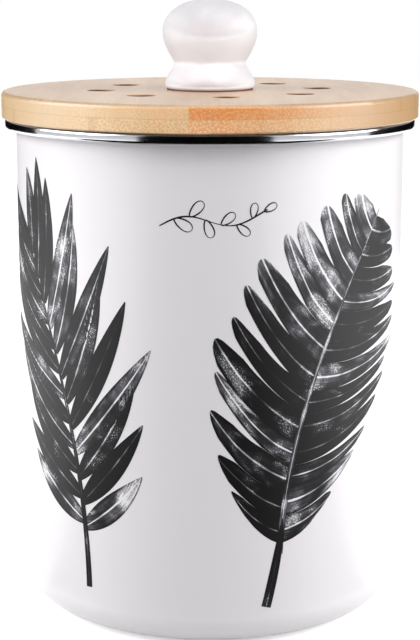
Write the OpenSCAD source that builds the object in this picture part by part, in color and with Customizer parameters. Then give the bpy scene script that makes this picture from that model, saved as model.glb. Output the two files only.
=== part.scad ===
// Kitchen compost caddy: an enamelled steel canister with a lift-off bamboo lid,
// a glazed knob, charcoal filters under the vent holes and a removable pail inside.
// Millimetres. +Z is up, and the origin is the centre of the ring the caddy stands on.

/* [Canister] */
// Outside diameter of the enamelled wall
can_d = 180; // [160:1:230]
// Height of the rim that carries the lid
can_h = 229; // [180:1:300]
// Thickness of the enamelled steel
can_wall = 1; // [0.8:0.1:1.4]
// Outside radius of the bottom corner
can_corner_r = 18; // [12:1:24]
// Width of the flat ring the caddy stands on
foot_w = 14; // [8:1:18]
// Height of the pressed-up centre of the floor
floor_rise = 3; // [2:0.5:5]

/* [Rim band] */
// How far the band stands out from the wall
band_reach = 5.2; // [4:0.1:7]
// Height of the band
band_h = 4.7; // [4:0.1:7]
// Sheet thickness of the band
band_t = 0.6; // [0.5:0.1:0.8]
// Radius of the band's outer corners
band_edge_r = 1.6; // [1.2:0.1:1.9]

/* [Lid] */
// How far the lid stands out past the band
lid_overhang = 1.3; // [0.5:0.1:4]
// Thickness of the lid board
lid_t = 12; // [10:0.5:16]
// Radius of the board's top edge
lid_top_edge_r = 2; // [1:0.1:3]
// Radius of the board's bottom edge
lid_low_edge_r = 0.8; // [0.5:0.1:2]
// Gap between the plug ring and the canister wall
plug_gap = 3; // [2:0.1:4]
// Depth of the filter recess above the plug ring
board_recess = 1.5; // [0.5:0.1:2.5]
// Depth of the seal groove
groove_depth = 2.5; // [2:0.1:3]
// Height of the seal groove
groove_h = 4; // [3:0.1:5]
// Gap between the seal's fins and the canister wall
seal_gap = 0.35; // [0.3:0.05:0.6]

/* [Vents] */
// Number of vent holes
vent_count = 8; // [6:1:10]
// Diameter of a vent hole
vent_d = 12.6; // [8:0.1:15]
// How far the circle of vent holes lies inside the filter's edge
vent_inset = 11; // [8:0.5:20]
// Turn of the ring of vent holes
vent_turn = 8; // [0:1:44]

/* [Knob] */
// Widest diameter of the knob
knob_d = 43.7; // [36:0.1:52]
// Height of the knob
knob_h = 41; // [34:0.5:48]
// Diameter of the knob's neck
knob_neck_d = 33.2; // [24:0.1:35]
// Diameter of the knob's base
knob_base_d = 41.6; // [35:0.1:48]
// Height of the knob's base
knob_base_h = 5; // [4:0.1:7]
// Radius of the base's edges
knob_base_edge_r = 1.6; // [1:0.1:1.9]
// Height of the neck's narrowest place above the base
knob_neck_z = 12.3; // [10:0.1:16]
// Height of the knob's widest place above the base
knob_bulb_z = 26; // [22:0.1:30]
// Diameter of the knob's screw
screw_d = 4.8; // [4:0.1:5.5]
// Thickness of the gasket under the knob
gasket_t = 0.5; // [0.4:0.1:1.5]

/* [Filter] */
// Diameter of a charcoal filter
filter_d = 123; // [118:1:126]
// Thickness of a charcoal filter
filter_t = 4; // [3:0.5:5]
// Thickness of the guard's rim
guard_t = 2.5; // [2:0.1:3.5]
// Number of spokes in the guard
guard_spokes = 12; // [8:1:18]
// Width of a spoke
spoke_w = 1.8; // [1.4:0.1:2.6]

/* [Turn buttons] */
// Width of a turn button
button_w = 10; // [8:0.5:12]
// Thickness of a turn button
button_t = 1.6; // [1.2:0.1:2]
// How far a turn button reaches over the filter guard
button_reach = 5; // [3:0.5:7]
// Diameter of a turn button's screw
button_screw_d = 4; // [3:0.1:4.5]

/* [Pail] */
// Gap between the pail's lip and the canister wall
pail_gap = 2; // [1.5:0.1:4]
// Width of the pail's lip
pail_lip_w = 5.5; // [5:0.1:7]
// Depth of the lip's turned-down skirt
pail_skirt_h = 8; // [6:0.5:12]
// Wall of the pail
pail_wall = 1.5; // [1.2:0.1:2]
// How much narrower the pail is at the bottom, on the radius
pail_draft = 11; // [6:0.5:16]
// Radius of the pail's bottom corner
pail_corner_r = 10; // [6:0.5:14]
// Clear height between the folded bail and the turn buttons
bail_headroom = 2; // [1:0.5:10]

/* [Bail] */
// Diameter of the bail's wire
wire_d = 3.2; // [2.6:0.1:3.6]
// Diameter of the bail's grip
grip_d = 9.8; // [8:0.1:10]
// Arc of the bail that the grip covers
grip_angle = 56; // [40:1:80]

/* [Hidden] */
$fn = 96;

// Clearances
run_gap = 0.1;      // between a shaft and its hole, on the radius
pivot_gap = 0.08;   // between a turn button and its screw, on the radius
seat_gap = 0.3;     // between pieces that move past each other
press_gap = 0.05;   // between pieces held together
filter_gap = 0.5;   // between a filter and its recess, on the radius
cut = 1;            // how far a cutter runs past what it cuts

// Canister and band
can_r = can_d / 2;
can_in_r = can_r - can_wall;
foot_out_r = can_r - can_corner_r;
foot_in_r = foot_out_r - foot_w;
slope_shift = can_wall * sqrt(2);
floor_top = can_wall + floor_rise;
floor_flat_r = foot_in_r + slope_shift - floor_top;
band_r = can_r + band_reach;
band_low = can_h - band_h;
lip_r = band_r - band_edge_r;
lip_top = can_h - band_t;

// Lid
lid_r = band_r + lid_overhang;
lid_top = can_h + lid_t;
plug_r = can_in_r - plug_gap;
groove_r = plug_r - groove_depth;
recess_r = filter_d / 2 + filter_gap;
plug_h = 2 * filter_t + guard_t - board_recess;
plug_low = can_h - plug_h;
plug_chamfer = 1.2;
groove_low = plug_low + (plug_h - groove_h) / 2;
recess_top = can_h + board_recess;
seal_r = can_in_r - seal_gap;
vent_pitch_r = filter_d / 2 - vent_inset;
fin_t = 0.9;
fin_rise = 0.7;
fin_inset = 0.3;
vent_bevel = 0.5;

// Knob and its fastening
knob_low = lid_top + gasket_t;
knob_top = knob_low + knob_h;
dome_h = knob_h - knob_bulb_z;
dome_power = 2.15;
gasket_inset = 0.8;
insert_r = screw_d / 2 + 2;
insert_h = 14;
insert_inset = 0.3;
screw_hole_r = screw_d / 2 + seat_gap;
screw_head_r = screw_d;
screw_head_h = 3;
cross_w = 1;
cross_depth = 1.6;
washer_r = screw_head_r + 2.7;
washer_t = 1;
counterbore_r = washer_r + 1;
counterbore_top = recess_top + (lid_t - board_recess) / 2;
screw_reach = 10.5;

// Filters and guard
guard_r = filter_d / 2;
guard_hub_r = 10;
guard_rim_w = 3;
guard_web_t = 1.6;
guard_ring_w = 1.6;
guard_rings = 3;

// Turn buttons and their screws
button_count = 3;
button_turn = 90;
pivot_r = (recess_r + plug_r) / 2;
button_gap = 0.2;
button_arm = pivot_r - recess_r + button_reach;
button_top = plug_low - button_gap;
button_low = button_top - button_t;
pan_head_r = button_screw_d / 2 + 1.4;
pan_head_h = 1.7;
pan_cross_w = 0.8;
pan_cross_depth = 0.9;
pan_head_top = button_low - button_gap;
pan_head_low = pan_head_top - pan_head_h;
button_screw_reach = plug_h - 2;

// Pail and bail
pail_r = can_in_r - pail_gap;
pail_top_r = pail_r - pail_lip_w;
pail_low_r = pail_top_r - pail_draft;
wire_r = wire_d / 2;
grip_r = grip_d / 2;
bail_r = pail_top_r + 1;
pail_top = pan_head_low - bail_headroom - seat_gap - grip_d;
bail_z = pail_top + seat_gap + grip_r;
pail_foot_h = 2;
pail_foot_w = 4;
pail_foot_r = floor_flat_r - 2;
ear_gap = 0.5;
pail_floor = floor_top + pail_foot_h;
ear_out = bail_r - wire_r - ear_gap;
ear_t = 4.5;
ear_in = ear_out - ear_t;
ear_r = wire_r + 3.9;
ear_drop = 16;
ear_slope = 7;
wire_head_r = wire_r + 1;
wire_head_t = 1.8;

// Half section of an upright cup, solid, with a rounded bottom corner
module cup_section(r, low, high, corner_r) {
    translate([0, low]) square([r - corner_r, high - low]);
    translate([0, low + corner_r]) square([r, high - low - corner_r]);
    translate([r - corner_r, low + corner_r]) circle(corner_r);
}

// Half section of the space under the raised floor; shift moves its slope outwards
module floor_section(shift, low, high) {
    polygon([
        [0, low], [foot_in_r + shift - low, low],
        [foot_in_r + shift - high, high], [0, high]
    ]);
}

// Drawn steel canister with a raised floor and a flat lip that carries the band
module body_shell() {
    color("whitesmoke")
    rotate_extrude() {
        difference() {
            union() {
                cup_section(can_r, 0, lip_top, can_corner_r);
                translate([can_in_r, lip_top - can_wall])
                    square([lip_r - can_in_r, can_wall]);
            }
            difference() {
                cup_section(can_in_r, can_wall, lip_top + cut, can_corner_r - can_wall);
                floor_section(slope_shift, 0, floor_top);
            }
            floor_section(0, -cut, floor_rise);
        }
    }
}

// Half section of the band's outline, shrunk by inset on every side
module band_section(inset) {
    r = band_edge_r - inset;
    x0 = can_in_r + inset;
    x1 = band_r - inset;
    z0 = band_low + inset;
    z1 = can_h - inset;
    translate([x0, z0]) square([x1 - r - x0, z1 - z0]);
    translate([x0, z0 + r]) square([x1 - x0, z1 - z0 - 2 * r]);
    for (z = [z0 + r, z1 - r]) translate([x1 - r, z]) circle(r);
}

// Polished steel band, folded over the lip and under it
module rim_band() {
    color("silver")
    rotate_extrude() difference() {
        band_section(0);
        band_section(band_t);
        translate([0, band_low - cut])
            square([can_r + press_gap, lip_top - band_low + cut]);
    }
}

// Half section of a tapered cup, solid, with a bottom corner of radius corner_r.
// The wall is the tangent from that corner to the point [top_r, high].
module tapered_section(low_r, top_r, low, high, corner_r) {
    cx = low_r - corner_r;
    cz = low + corner_r;
    reach = norm([top_r - cx, high - cz]);
    lean = atan2(top_r - cx, high - cz) - asin(corner_r / reach);
    polygon([
        [0, low], [cx, low], [cx, cz],
        [cx + corner_r * cos(lean), cz - corner_r * sin(lean)],
        [top_r, high], [0, high]
    ]);
    translate([cx, cz]) circle(corner_r);
}

// Half section of the pail's lip: a flat top with a rounded edge and a skirt
module lip_section() {
    translate([pail_top_r - pail_wall, pail_top - pail_wall])
        square([pail_r - pail_top_r, pail_wall]);
    translate([pail_r - pail_wall, pail_top - pail_skirt_h])
        square([pail_wall, pail_skirt_h - pail_wall]);
    translate([pail_r - pail_wall, pail_top - pail_wall]) circle(pail_wall);
}

// Ear moulded inside the pail's mouth, seen from the side, for the bail's end
module ear(hand) {
    root = pail_top_r - pail_wall / 2;
    rotate([0, 0, hand > 0 ? 0 : 180]) {
        translate([ear_in, 0, bail_z]) rotate([0, 90, 0]) cylinder(r = ear_r, h = ear_t);
        translate([0, ear_r, 0]) rotate([90, 0, 0]) linear_extrude(2 * ear_r) polygon([
            [ear_in, bail_z], [ear_in, pail_top - ear_drop + ear_slope],
            [root, pail_top - ear_drop], [root, pail_top - pail_wall / 2],
            [ear_out, pail_top - pail_wall / 2], [ear_out, bail_z]
        ]);
    }
}

// Moulded pail with a rolled lip, a standing ring and two ears for the bail
module inner_pail() {
    color("dimgray")
    difference() {
        union() {
            rotate_extrude() {
                difference() {
                    tapered_section(pail_low_r, pail_top_r, pail_floor, pail_top - pail_wall / 2,
                        pail_corner_r);
                    tapered_section(pail_low_r - pail_wall, pail_top_r - pail_wall,
                        pail_floor + pail_wall, pail_top + cut, pail_corner_r - pail_wall);
                }
                lip_section();
                translate([pail_foot_r - pail_foot_w, floor_top])
                    square([pail_foot_w, pail_foot_h + pail_wall / 2]);
            }
            for (hand = [-1, 1]) ear(hand);
        }
        translate([-can_r, 0, bail_z]) rotate([0, 90, 0])
            cylinder(r = wire_r + run_gap, h = 2 * can_r);
    }
}

// One end of the bail: a pin through the ear, upset so it can't pull out
module bail_end() {
    pin_in = ear_in - seat_gap - wire_head_t;
    translate([bail_r, 0, bail_z]) sphere(r = wire_r);
    translate([pin_in, 0, bail_z]) rotate([0, 90, 0]) {
        cylinder(r = wire_r, h = bail_r - pin_in);
        cylinder(r = wire_head_r, h = wire_head_t);
    }
}

// Bent wire bail, folded down on the front of the lip
module bail_wire() {
    color("silver") {
        translate([0, 0, bail_z]) rotate([0, 0, 180])
            rotate_extrude(angle = 180) translate([bail_r, 0]) circle(wire_r);
        for (turn = [0, 180]) rotate([0, 0, turn]) bail_end();
    }
}

// Moulded sleeve on the middle of the bail
module bail_grip() {
    color("dimgray")
    translate([0, 0, bail_z]) rotate([0, 0, 270 - grip_angle / 2])
        rotate_extrude(angle = grip_angle) translate([bail_r, 0]) difference() {
            circle(grip_r);
            circle(wire_r + press_gap);
        }
}

// Places its children at each vent hole
module at_vents() {
    for (i = [0 : vent_count - 1])
        rotate([0, 0, vent_turn + i * 360 / vent_count])
            translate([vent_pitch_r, 0, 0]) children();
}

// Half section of the lid board with its eased edges
module board_section() {
    top_r = lid_top_edge_r;
    low_r = lid_low_edge_r;
    translate([0, can_h]) square([lid_r - low_r, low_r]);
    translate([0, can_h + low_r]) square([lid_r, lid_t - low_r - top_r]);
    translate([0, lid_top - top_r]) square([lid_r - top_r, top_r]);
    translate([lid_r - low_r, can_h + low_r]) circle(low_r);
    translate([lid_r - top_r, lid_top - top_r]) circle(top_r);
}

// Laminated bamboo lid board with the vent holes and the knob's screw hole
module lid_board() {
    vent_r = vent_d / 2;
    color("burlywood")
    difference() {
        rotate_extrude() board_section();
        translate([0, 0, can_h - cut]) cylinder(r = recess_r, h = cut + board_recess);
        translate([0, 0, can_h]) cylinder(r = counterbore_r, h = counterbore_top - can_h);
        translate([0, 0, can_h]) cylinder(r = screw_hole_r, h = lid_t + cut);
        at_vents() {
            translate([0, 0, can_h]) cylinder(r = vent_r, h = lid_t + cut);
            translate([0, 0, lid_top - vent_bevel])
                cylinder(r1 = vent_r, r2 = vent_r + 2 * vent_bevel, h = 2 * vent_bevel);
        }
    }
}

// Places its children at each turn button's pivot
module at_buttons() {
    for (i = [0 : button_count - 1]) at_button(i) children();
}

// Places its children at the pivot of turn button i
module at_button(i) {
    rotate([0, 0, button_turn + i * 360 / button_count])
        translate([pivot_r, 0, 0]) children();
}

// Bamboo ring glued under the board: it centres the lid and holds the filters
module plug_ring() {
    color("burlywood")
    difference() {
        rotate_extrude() difference() {
            polygon([
                [recess_r, plug_low], [plug_r - plug_chamfer, plug_low],
                [plug_r, plug_low + plug_chamfer], [plug_r, can_h], [recess_r, can_h]
            ]);
            translate([groove_r, groove_low]) square([groove_depth + cut, groove_h]);
        }
        at_buttons() translate([0, 0, plug_low - cut])
            cylinder(d = button_screw_d, h = button_screw_reach + cut);
    }
}

// Soft seal in the plug's groove, with two fins that lean up as the lid goes in
module lid_seal() {
    base_r = plug_r - press_gap;
    color("lightgray")
    rotate_extrude() {
        translate([groove_r, groove_low]) square([base_r - groove_r, groove_h]);
        for (z = [groove_low + fin_inset, groove_low + groove_h - fin_t - fin_inset]) polygon([
            [base_r - cut, z], [base_r, z], [seal_r, z + fin_rise],
            [seal_r, z + fin_rise + fin_t / 2], [base_r, z + fin_t], [base_r - cut, z + fin_t]
        ]);
    }
}

// Radius of the knob at height z above its base
function knob_r(z) =
    let (bulb = knob_bulb_z, neck = knob_neck_z)
    z >= bulb
        ? knob_d / 2 * pow(max(0, 1 - pow((z - bulb) / dome_h, dome_power)), 1 / dome_power)
        : z >= neck
            ? knob_neck_d / 2 + (knob_d - knob_neck_d) / 2 * sin(90 * (z - neck) / (bulb - neck))
            : knob_neck_d / 2 + (knob_base_d - knob_neck_d) / 2
                * (1 - cos(90 * (neck - z) / (neck - knob_base_h)));

// Turned outline of the knob above its base, from the base up to the crown
function knob_outline(steps = 44) = [
    for (i = [0 : steps])
        let (t = i / steps, z = knob_base_h + (knob_h - knob_base_h) * sin(90 * t))
        [i == steps ? 0 : knob_r(z), knob_low + z]
];

// Glazed knob, turned, with a blind hole for its threaded insert
module knob() {
    base_r = knob_base_d / 2;
    edge_r = knob_base_edge_r;
    color("white")
    difference() {
        rotate_extrude() {
            polygon(concat([[0, knob_low + knob_base_h]], knob_outline()));
            translate([0, knob_low]) square([base_r - edge_r, knob_base_h]);
            translate([0, knob_low + edge_r]) square([base_r, knob_base_h - 2 * edge_r]);
            for (z = [edge_r, knob_base_h - edge_r])
                translate([base_r - edge_r, knob_low + z]) circle(edge_r);
        }
        translate([0, 0, knob_low - cut])
            cylinder(r = insert_r + press_gap, h = insert_h + insert_inset + cut);
    }
}

// Threaded brass insert set in the knob
module knob_insert() {
    color("goldenrod")
    translate([0, 0, knob_low + insert_inset]) difference() {
        cylinder(r = insert_r, h = insert_h);
        translate([0, 0, -cut]) cylinder(r = screw_d / 2 + run_gap, h = insert_h + 2 * cut);
    }
}

// Thin gasket between the knob and the lid
module knob_gasket() {
    color("sienna")
    translate([0, 0, lid_top]) difference() {
        cylinder(r = knob_base_d / 2 - gasket_inset, h = gasket_t);
        translate([0, 0, -cut]) cylinder(r = screw_hole_r, h = gasket_t + 2 * cut);
    }
}

// Cutter for a cross recess in a screw head whose lower face is at height low
module cross_recess(low, reach, w, depth) {
    for (turn = [0, 90]) rotate([0, 0, turn])
        translate([-reach, -w / 2, low - cut]) cube([2 * reach, w, cut + depth]);
}

// Domed screw up through the lid into the knob, with a cross recess
module knob_screw() {
    head_top = counterbore_top - washer_t;
    crown_r = (pow(screw_head_r, 2) + pow(screw_head_h, 2)) / (2 * screw_head_h);
    color("silver")
    difference() {
        union() {
            translate([0, 0, head_top - screw_head_h / 2])
                cylinder(d = screw_d, h = knob_low + screw_reach - head_top + screw_head_h / 2);
            intersection() {
                translate([0, 0, head_top - screw_head_h + crown_r]) sphere(r = crown_r);
                translate([0, 0, head_top - screw_head_h])
                    cylinder(r = screw_head_r, h = screw_head_h);
            }
        }
        cross_recess(head_top - screw_head_h, screw_head_r / 2, cross_w, cross_depth);
    }
}

// Washer that spreads the screw's pull on the lid
module screw_washer() {
    color("silver")
    translate([0, 0, counterbore_top - washer_t]) difference() {
        cylinder(r = washer_r, h = washer_t);
        translate([0, 0, -cut]) cylinder(r = screw_hole_r, h = washer_t + 2 * cut);
    }
}

// Charcoal filter pad whose lower face is at height low
module filter_pad(low) {
    color([0.16, 0.16, 0.17]) translate([0, 0, low]) cylinder(d = filter_d, h = filter_t);
}

module upper_filter() filter_pad(recess_top - filter_t);

module lower_filter() filter_pad(recess_top - 2 * filter_t);

// Moulded grille that carries the filters: a rim, a hub, rings and spokes
module filter_guard() {
    inner_r = guard_r - guard_rim_w;
    pitch = (inner_r - guard_hub_r) / (guard_rings + 1);
    color("dimgray")
    translate([0, 0, plug_low]) {
        difference() {
            cylinder(r = guard_r, h = guard_t);
            translate([0, 0, -cut]) cylinder(r = inner_r, h = guard_t + 2 * cut);
        }
        cylinder(r = guard_hub_r, h = guard_t);
        for (k = [1 : guard_rings]) difference() {
            cylinder(r = guard_hub_r + k * pitch + guard_ring_w / 2, h = guard_web_t);
            translate([0, 0, -cut])
                cylinder(r = guard_hub_r + k * pitch - guard_ring_w / 2, h = guard_web_t + 2 * cut);
        }
        for (i = [0 : guard_spokes - 1]) rotate([0, 0, i * 360 / guard_spokes])
            translate([guard_hub_r - 2, -spoke_w / 2, 0])
                cube([inner_r - guard_hub_r + 3, spoke_w, guard_t]);
    }
}

// Pan-head screws that the turn buttons swivel on
module button_screws() {
    color("silver")
    at_buttons() difference() {
        union() {
            translate([0, 0, pan_head_low]) cylinder(r = pan_head_r, h = pan_head_h);
            translate([0, 0, pan_head_low])
                cylinder(d = button_screw_d, h = plug_low + button_screw_reach - pan_head_low);
        }
        cross_recess(pan_head_low, button_screw_d / 2, pan_cross_w, pan_cross_depth);
    }
}

// Swivelling tab, pointing inwards over the filter guard at rest
module turn_button(i) {
    half = button_w / 2;
    color("silver")
    at_button(i) translate([0, 0, button_low]) difference() {
        union() {
            cylinder(r = half, h = button_t);
            translate([-button_arm + half, -half, 0])
                cube([button_arm - half, button_w, button_t]);
            translate([-button_arm + half, 0, 0]) cylinder(r = half, h = button_t);
        }
        translate([0, 0, -cut])
            cylinder(r = button_screw_d / 2 + pivot_gap, h = button_t + 2 * cut);
    }
}

module turn_button_1() turn_button(0);

module turn_button_2() turn_button(1);

module turn_button_3() turn_button(2);

body_shell();
rim_band();
inner_pail();
bail_wire();
bail_grip();
lid_board();
plug_ring();
lid_seal();
knob();
knob_insert();
knob_gasket();
knob_screw();
screw_washer();
upper_filter();
lower_filter();
filter_guard();
button_screws();
turn_button_1();
turn_button_2();
turn_button_3();
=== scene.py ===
"""Looks of a kitchen compost caddy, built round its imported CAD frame.

The canister is drawn steel in white vitreous enamel, printed with ink-wash leaves, and a
polished steel band is folded over its rim. The lid is laminated bamboo with a glazed knob. A
moulded pail, charcoal filters and the parts that hold them are inside. Sizes are in
millimetres and are turned to metres where a mesh or a material is made.
"""

import logging
import math
import random
from dataclasses import dataclass, field
from enum import Enum
from typing import Any

import bpy
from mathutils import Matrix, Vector


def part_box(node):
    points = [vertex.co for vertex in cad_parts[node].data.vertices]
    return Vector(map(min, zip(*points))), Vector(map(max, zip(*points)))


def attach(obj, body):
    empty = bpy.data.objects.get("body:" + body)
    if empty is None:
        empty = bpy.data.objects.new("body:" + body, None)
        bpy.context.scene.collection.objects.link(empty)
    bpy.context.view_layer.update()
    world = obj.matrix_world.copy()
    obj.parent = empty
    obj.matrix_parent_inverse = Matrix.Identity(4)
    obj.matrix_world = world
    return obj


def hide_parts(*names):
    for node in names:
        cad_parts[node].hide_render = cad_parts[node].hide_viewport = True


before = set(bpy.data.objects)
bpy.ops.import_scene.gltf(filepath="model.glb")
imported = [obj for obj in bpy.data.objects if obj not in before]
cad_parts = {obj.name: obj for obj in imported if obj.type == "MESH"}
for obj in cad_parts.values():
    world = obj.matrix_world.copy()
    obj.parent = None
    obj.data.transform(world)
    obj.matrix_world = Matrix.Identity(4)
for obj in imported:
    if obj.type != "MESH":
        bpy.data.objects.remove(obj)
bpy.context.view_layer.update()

MM = 0.001
LOG = logging.getLogger("caddy")

Point = tuple[float, float]
Place = tuple[float, float, float]
Color = tuple[float, float, float, float]

WHITE: Color = (1.0, 1.0, 1.0, 1.0)

# Sockets of a Mix node between colours, whose names repeat: the share of the second colour,
# the two colours and the result.
SHARE, FIRST, SECOND, BLEND = 0, 6, 7, 2


def hex_linear(code: str) -> Color:
    """Turns an sRGB hex colour to linear light.

    Args:
        code: Colour as "#RRGGBB".

    Returns:
        Red, green, blue and alpha, each from 0 to 1.
    """
    values = [int(code[i:i + 2], 16) / 255 for i in (1, 3, 5)]
    linear = [v / 12.92 if v <= 0.04045 else ((v + 0.055) / 1.055) ** 2.4 for v in values]
    return (*linear, 1.0)


# --- Materials -----------------------------------------------------------------------------


class Graph:
    """Node tree of one new material or world."""

    def __init__(self, name: str, world: bool = False) -> None:
        """Starts an empty tree.

        Args:
            name: Name of the material or world.
            world: Whether it is a world.
        """
        self.owner = (bpy.data.worlds if world else bpy.data.materials).new(name)
        self.output = "OutputWorld" if world else "OutputMaterial"
        self.owner.use_nodes = True
        self.tree = self.owner.node_tree
        self.tree.nodes.clear()

    def add(self, kind: str, settings: dict | None = None, links: dict | None = None) -> Any:
        """Adds a node with its settings and links.

        Args:
            kind: Node type without its ShaderNode prefix.
            settings: Values by input name or number, by property, or "stops" of a colour ramp.
            links: Output sockets by the name or number of the input they feed.

        Returns:
            The new node.
        """
        node = self.tree.nodes.new("ShaderNode" + kind)
        for key, value in (settings or {}).items():
            if key == "stops":
                ramp = node.color_ramp
                while len(ramp.elements) < len(value):
                    ramp.elements.new(1.0)
                for element, (place, code) in zip(ramp.elements, value):
                    element.position = place
                    element.color = hex_linear(code)
            elif isinstance(key, int) or key in node.inputs:
                node.inputs[key].default_value = value
            else:
                setattr(node, key, value)
        for key, socket in (links or {}).items():
            self.tree.links.new(socket, node.inputs[key])
        return node

    def finish(self, shader: Any) -> Any:
        """Joins a shader node to the output.

        Args:
            shader: The last node.

        Returns:
            The finished material or world.
        """
        self.add(self.output, links={"Surface": shader.outputs[0]})
        return self.owner


@dataclass(frozen=True)
class FiredGlass:
    """White glass melted on a surface, with the soft waves it flowed into."""

    name: str
    white: str
    roughness: float
    ior: float
    wave_mm: float
    wave_depth_mm: float
    wave_strength: float
    wave_detail: float

    def material(self) -> bpy.types.Material:
        """Builds the material.

        Returns:
            The material.
        """
        g = Graph(self.name)
        at = g.add("TexCoord").outputs["Object"]
        waves = g.add("TexNoise", {"Scale": 1 / (self.wave_mm * MM),
                                   "Detail": self.wave_detail}, {"Vector": at})
        bump = g.add("Bump", {"Strength": self.wave_strength,
                              "Distance": self.wave_depth_mm * MM},
                     {"Height": waves.outputs[0]})
        return g.finish(g.add("BsdfPrincipled", {
            "Base Color": hex_linear(self.white), "Roughness": self.roughness,
            "IOR": self.ior}, {"Normal": bump.outputs[0]}))


@dataclass(frozen=True)
class VitreousEnamel(FiredGlass):
    """Enamel fused on steel: an even gloss with a very faint orange peel from the firing."""

    name: str = "vitreous_enamel"
    white: str = "#E4E1E4"
    roughness: float = 0.28
    ior: float = 1.5
    wave_mm: float = 7.0
    wave_depth_mm: float = 0.05
    wave_strength: float = 0.05
    wave_detail: float = 1.0


@dataclass(frozen=True)
class StonewareGlaze(FiredGlass):
    """Satin kiln glaze on white stoneware: a broad soft sheen with shallow dimples."""

    name: str = "stoneware_glaze"
    white: str = "#C6C4C7"
    roughness: float = 0.6
    ior: float = 1.45
    wave_mm: float = 9.0
    wave_depth_mm: float = 0.1
    wave_strength: float = 0.06
    wave_detail: float = 2.0


class MetalWork(Enum):
    """How a metal surface was made, with the spacing of its marks along X, Y and Z in mm.

    Real marks are finer. They are drawn as coarse as they need to show.
    """

    BUFFED = (40.0, 40.0, 0.6)
    DRAWN = (3.0, 3.0, 3.0)
    BRUSHED = (14.0, 0.25, 14.0)
    TURNED = (30.0, 30.0, 0.3)


@dataclass(frozen=True)
class BareMetal:
    """Uncoated metal whose tool marks break up its reflections.

    The roughness runs from one share of its mean to another across the marks.
    """

    name: str
    color: str
    work: MetalWork
    roughness: float
    mark_depth_mm: float = 0.03
    mark_strength: float = 0.4
    mark_detail: float = 3.0
    smooth_share: float = 0.75
    rough_share: float = 1.3

    def material(self) -> bpy.types.Material:
        """Builds the material.

        Returns:
            The material.
        """
        g = Graph(self.name)
        at = g.add("TexCoord").outputs["Object"]
        scale = [1 / (mm * MM) for mm in self.work.value]
        placed = g.add("Mapping", {"Scale": scale}, {"Vector": at})
        marks = g.add("TexNoise", {"Scale": 1.0, "Detail": self.mark_detail},
                      {"Vector": placed.outputs[0]})
        rough = g.add("MapRange", {"To Min": self.roughness * self.smooth_share,
                                   "To Max": self.roughness * self.rough_share},
                      {"Value": marks.outputs[0]})
        bump = g.add("Bump", {"Strength": self.mark_strength,
                              "Distance": self.mark_depth_mm * MM},
                     {"Height": marks.outputs[0]})
        return g.finish(g.add("BsdfPrincipled", {
            "Base Color": hex_linear(self.color), "Metallic": 1.0},
            {"Roughness": rough.outputs[0], "Normal": bump.outputs[0]}))


@dataclass(frozen=True)
class MouldedPlastic:
    """Injection-moulded polymer with the fine spark grain of its mould.

    The grain is drawn as coarse as it needs to show. The shade drifts a little along the
    broad lines in which the polymer flowed.
    """

    name: str
    color: str
    roughness: float
    ior: float = 1.49
    grain_mm: float = 0.7
    grain_depth_mm: float = 0.08
    grain_strength: float = 0.25
    flow_mm: float = 45.0
    flow_dark: float = 0.93
    flow_light: float = 1.07
    detail: float = 2.0

    def material(self) -> bpy.types.Material:
        """Builds the material.

        Returns:
            The material.
        """
        g = Graph(self.name)
        at = g.add("TexCoord").outputs["Object"]
        grain = g.add("TexNoise", {"Scale": 1 / (self.grain_mm * MM), "Detail": self.detail},
                      {"Vector": at})
        flow = g.add("TexNoise", {"Scale": 1 / (self.flow_mm * MM), "Detail": self.detail},
                     {"Vector": at})
        value = g.add("MapRange", {"To Min": self.flow_dark, "To Max": self.flow_light},
                      {"Value": flow.outputs[0]})
        shade = g.add("HueSaturation", {"Color": hex_linear(self.color)},
                      {"Value": value.outputs[0]})
        bump = g.add("Bump", {"Strength": self.grain_strength,
                              "Distance": self.grain_depth_mm * MM},
                     {"Height": grain.outputs[0]})
        return g.finish(g.add("BsdfPrincipled", {
            "Roughness": self.roughness, "IOR": self.ior},
            {"Base Color": shade.outputs[0], "Normal": bump.outputs[0]}))


@dataclass(frozen=True)
class CharcoalFelt:
    """Needled fibre pad loaded with charcoal: black, dull and fuzzy.

    Its single fibres are too fine to show, so the noise has the size of their tufts.
    """

    dark: str = "#111112"
    dark_stop: float = 0.35
    light: str = "#39393B"
    light_stop: float = 0.75
    fibre_mm: float = 0.8
    fibre_detail: float = 6.0
    tangle: float = 2.5
    pile_depth_mm: float = 0.4
    pile_strength: float = 0.9
    roughness: float = 0.95
    fuzz: float = 0.3

    def material(self) -> bpy.types.Material:
        """Builds the material.

        Returns:
            The material.
        """
        g = Graph("charcoal_felt")
        at = g.add("TexCoord").outputs["Object"]
        fibres = g.add("TexNoise", {"Scale": 1 / (self.fibre_mm * MM),
                                    "Detail": self.fibre_detail,
                                    "Distortion": self.tangle}, {"Vector": at})
        color = g.add("ValToRGB", {"stops": [(self.dark_stop, self.dark),
                                             (self.light_stop, self.light)]},
                      {"Fac": fibres.outputs[0]})
        bump = g.add("Bump", {"Strength": self.pile_strength,
                              "Distance": self.pile_depth_mm * MM},
                     {"Height": fibres.outputs[0]})
        return g.finish(g.add("BsdfPrincipled", {
            "Roughness": self.roughness, "Sheen Weight": self.fuzz},
            {"Base Color": color.outputs[0], "Normal": bump.outputs[0]}))


@dataclass(frozen=True)
class Grain:
    """Measures that every colour of the bamboo is mixed from, each a socket but the first two."""

    graph: Graph
    place: Any  # Node with the separate object coordinates.
    height: Any  # Height over the board's underside, in layers.
    upper: Any  # 1 in the upper layer and 0 in the lower one.
    across: Any  # Place across the strips, in strips.
    chance: Any  # Random value of the strip.
    spread: Any  # From 0 at the board's left to 1 at its right.
    fibres: Any  # Fine streaks.
    clouds: Any  # Broad streaks.


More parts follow.
